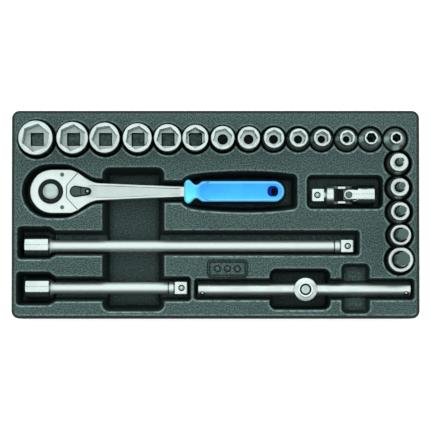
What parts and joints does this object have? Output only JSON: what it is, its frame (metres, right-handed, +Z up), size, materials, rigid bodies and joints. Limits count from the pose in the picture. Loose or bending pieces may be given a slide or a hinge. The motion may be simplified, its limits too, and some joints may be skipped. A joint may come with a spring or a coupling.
{
  "type": "socket wrench set in case",
  "caption": "Square-drive socket wrench set lying in a moulded drawer tray: hexagon and bit sockets, reversible ratchet, extension bars, joint and sliding T handle.",
  "frame": {"origin": "centre of the tray's underside", "axes": "+X along the tray's long side from the large sockets to the small ones, +Y towards the row of sockets, +Z up"},
  "size_m": [0.31, 0.158, 0.0682],
  "materials": {
    "tray_plastic": "dark grey-green moulded ABS with a fine pebbled grain",
    "tray_panel": "plain closing panel",
    "chrome_socket": "polished chrome plate",
    "satin_holder": "satin chrome",
    "dark_bit": "dark burnished tool steel",
    "satin_chrome": "fine satin chrome",
    "cover_chrome": "fine satin chrome",
    "dark_screw": "burnished steel",
    "drive_steel": "chrome plate",
    "black_dial": "black",
    "button_chrome": "bright chrome",
    "ball_steel": "polished ball",
    "black_lever": "dark grey",
    "pin_steel": "turned pin",
    "pawl_steel": "hardened steel",
    "blue_grip": "light blue hard plastic",
    "navy_grip": "dark blue soft side panels",
    "bar_chrome": "polished chrome plate",
    "joint_chrome": "polished chrome plate",
    "joint_dark": "dark burnished steel",
    "t_chrome": "polished chrome plate"
  },
  "bodies": {
    "tray": {"tray_shell": "tray_plastic", "tray_base": "tray_panel"},
    "socket_19_body": {"socket_19": "chrome_socket"},
    "socket_18_body": {"socket_18": "chrome_socket"},
    "socket_17_body": {"socket_17": "chrome_socket"},
    "socket_16_body": {"socket_16": "chrome_socket"},
    "socket_15_body": {"socket_15": "chrome_socket"},
    "socket_14_body": {"socket_14": "chrome_socket"},
    "socket_13_body": {"socket_13": "chrome_socket"},
    "socket_12_body": {"socket_12": "chrome_socket"},
    "socket_11_body": {"socket_11": "chrome_socket"},
    "socket_10_body": {"socket_10": "chrome_socket"},
    "socket_09_body": {"socket_09": "chrome_socket"},
    "socket_08_body": {"socket_08": "chrome_socket"},
    "socket_07_body": {"socket_07": "chrome_socket"},
    "socket_06_body": {"socket_06": "chrome_socket"},
    "bit_socket_04": {"holder_04": "satin_holder", "bit_04": "dark_bit"},
    "bit_socket_05": {"holder_05": "satin_holder", "bit_05": "dark_bit"},
    "bit_socket_06": {"holder_06": "satin_holder", "bit_06": "dark_bit"},
    "bit_socket_08": {"holder_08": "satin_holder", "bit_08": "dark_bit"},
    "bit_socket_10": {"holder_10": "satin_holder", "bit_10": "dark_bit"},
    "ratchet": {"ratchet_body": "satin_chrome", "ratchet_cover": "cover_chrome", "cover_screws": "dark_screw", "grip_core": "blue_grip", "grip_sides": "navy_grip"},
    "ratchet_drive": {"drive_gear": "drive_steel", "dial_ring": "black_dial"},
    "quick_release": {"release_button": "button_chrome"},
    "drive_ball_body": {"drive_ball": "ball_steel"},
    "lever": {"reversing_lever": "black_lever", "lever_pin": "pin_steel"},
    "pawl_body": {"pawl": "pawl_steel"},
    "long_bar": {"long_extension": "bar_chrome"},
    "long_bar_ball": {"long_ball": "ball_steel"},
    "short_bar": {"short_extension": "bar_chrome"},
    "short_bar_ball": {"short_ball": "ball_steel"},
    "joint_yoke": {"uj_drive_yoke": "joint_chrome"},
    "joint_cross": {"uj_cross": "joint_dark"},
    "joint_socket": {"uj_socket_yoke": "joint_chrome"},
    "joint_ball": {"uj_ball": "ball_steel"},
    "t_handle_bar": {"t_bar": "t_chrome", "t_end_balls": "ball_steel"},
    "t_handle_head": {"t_slider": "t_chrome", "t_cap": "button_chrome"},
    "t_handle_ball": {"t_ball": "ball_steel"}
  },
  "joints": [
    {"name": "socket_19_lift", "type": "slide", "parent": "tray", "child": "socket_19_body", "axis": [0, 0, 1], "range_m": [0, 0.055]},
    {"name": "socket_18_lift", "type": "slide", "parent": "tray", "child": "socket_18_body", "axis": [0, 0, 1], "range_m": [0, 0.055]},
    {"name": "socket_17_lift", "type": "slide", "parent": "tray", "child": "socket_17_body", "axis": [0, 0, 1], "range_m": [0, 0.055]},
    {"name": "socket_16_lift", "type": "slide", "parent": "tray", "child": "socket_16_body", "axis": [0, 0, 1], "range_m": [0, 0.055]},
    {"name": "socket_15_lift", "type": "slide", "parent": "tray", "child": "socket_15_body", "axis": [0, 0, 1], "range_m": [0, 0.055]},
    {"name": "socket_14_lift", "type": "slide", "parent": "tray", "child": "socket_14_body", "axis": [0, 0, 1], "range_m": [0, 0.055]},
    {"name": "socket_13_lift", "type": "slide", "parent": "tray", "child": "socket_13_body", "axis": [0, 0, 1], "range_m": [0, 0.055]},
    {"name": "socket_12_lift", "type": "slide", "parent": "tray", "child": "socket_12_body", "axis": [0, 0, 1], "range_m": [0, 0.055]},
    {"name": "socket_11_lift", "type": "slide", "parent": "tray", "child": "socket_11_body", "axis": [0, 0, 1], "range_m": [0, 0.055]},
    {"name": "socket_10_lift", "type": "slide", "parent": "tray", "child": "socket_10_body", "axis": [0, 0, 1], "range_m": [0, 0.055]},
    {"name": "socket_09_lift", "type": "slide", "parent": "tray", "child": "socket_09_body", "axis": [0, 0, 1], "range_m": [0, 0.055]},
    {"name": "socket_08_lift", "type": "slide", "parent": "tray", "child": "socket_08_body", "axis": [0, 0, 1], "range_m": [0, 0.055]},
    {"name": "socket_07_lift", "type": "slide", "parent": "tray", "child": "socket_07_body", "axis": [0, 0, 1], "range_m": [0, 0.055]},
    {"name": "socket_06_lift", "type": "slide", "parent": "tray", "child": "socket_06_body", "axis": [0, 0, 1], "range_m": [0, 0.055]},
    {"name": "bit_socket_04_lift", "type": "slide", "parent": "tray", "child": "bit_socket_04", "axis": [0, 0, 1], "range_m": [0, 0.055]},
    {"name": "bit_socket_05_lift", "type": "slide", "parent": "tray", "child": "bit_socket_05", "axis": [0, 0, 1], "range_m": [0, 0.055]},
    {"name": "bit_socket_06_lift", "type": "slide", "parent": "tray", "child": "bit_socket_06", "axis": [0, 0, 1], "range_m": [0, 0.055]},
    {"name": "bit_socket_08_lift", "type": "slide", "parent": "tray", "child": "bit_socket_08", "axis": [0, 0, 1], "range_m": [0, 0.055]},
    {"name": "bit_socket_10_lift", "type": "slide", "parent": "tray", "child": "bit_socket_10", "axis": [0, 0, 1], "range_m": [0, 0.055]},
    {"name": "ratchet_lift", "type": "slide", "parent": "tray", "child": "ratchet", "axis": [0, 0, 1], "range_m": [0, 0.065]},
    {"name": "drive_turn", "type": "hinge", "parent": "ratchet", "child": "ratchet_drive", "pos_m": [-0.1263, 0.0178, 0.028], "axis": [0, 0, 1], "continuous": true},
    {"name": "button_press", "type": "slide", "parent": "ratchet_drive", "child": "quick_release", "axis": [0, 0, -1], "range_m": [0, 0.002], "stiffness_N_per_m": 500, "springref_m": -0.002},
    {"name": "drive_ball_in", "type": "slide", "parent": "ratchet_drive", "child": "drive_ball_body", "axis": [0, 1, 0], "range_m": [0, 0.0008]},
    {"name": "lever_flip", "type": "hinge", "parent": "ratchet", "child": "lever", "pos_m": [-0.1072, 0.0178, 0.0365], "axis": [0, 0, 1], "range_deg": [-20, 20]},
    {"name": "pawl_rock", "type": "hinge", "parent": "ratchet", "child": "pawl_body", "pos_m": [-0.1072, 0.0178, 0.0275], "axis": [0, 0, 1], "range_deg": [-3, 3]},
    {"name": "long_bar_lift", "type": "slide", "parent": "tray", "child": "long_bar", "axis": [0, 0, 1], "range_m": [0, 0.055]},
    {"name": "long_ball_in", "type": "slide", "parent": "long_bar", "child": "long_bar_ball", "axis": [0, 0, -1], "range_m": [0, 0.0006], "stiffness_N_per_m": 1500, "springref_m": -0.001},
    {"name": "short_bar_lift", "type": "slide", "parent": "tray", "child": "short_bar", "axis": [0, 0, 1], "range_m": [0, 0.055]},
    {"name": "short_ball_in", "type": "slide", "parent": "short_bar", "child": "short_bar_ball", "axis": [0, 0, -1], "range_m": [0, 0.0006], "stiffness_N_per_m": 1500, "springref_m": -0.001},
    {"name": "joint_lift", "type": "slide", "parent": "tray", "child": "joint_yoke", "axis": [0, 0, 1], "range_m": [0, 0.055]},
    {"name": "joint_tilt", "type": "hinge", "parent": "joint_yoke", "child": "joint_cross", "pos_m": [0.1019, 0.0152, 0.028], "axis": [0, 1, 0], "range_deg": [-40, 0]},
    {"name": "joint_swing", "type": "hinge", "parent": "joint_cross", "child": "joint_socket", "pos_m": [0.1019, 0.0152, 0.028], "axis": [0, 0, 1], "range_deg": [-5, 18]},
    {"name": "joint_ball_in", "type": "slide", "parent": "joint_yoke", "child": "joint_ball", "axis": [0, 0, -1], "range_m": [0, 0.0006], "stiffness_N_per_m": 1500, "springref_m": -0.001},
    {"name": "t_handle_lift", "type": "slide", "parent": "tray", "child": "t_handle_bar", "axis": [0, 0, 1], "range_m": [0, 0.065]},
    {"name": "t_head_slide", "type": "slide", "parent": "t_handle_bar", "child": "t_handle_head", "axis": [1, 0, 0], "range_m": [-0.017, 0.009]},
    {"name": "t_ball_in", "type": "slide", "parent": "t_handle_head", "child": "t_handle_ball", "axis": [0, 1, 0], "range_m": [0, 0.0006], "stiffness_N_per_m": 1500, "springref_m": -0.001}
  ],
  "couplings": [
    {"joint": "drive_ball_in", "follows": "button_press", "ratio": 0.4},
    {"joint": "pawl_rock", "follows": "lever_flip", "ratio": 0.15}
  ]
}
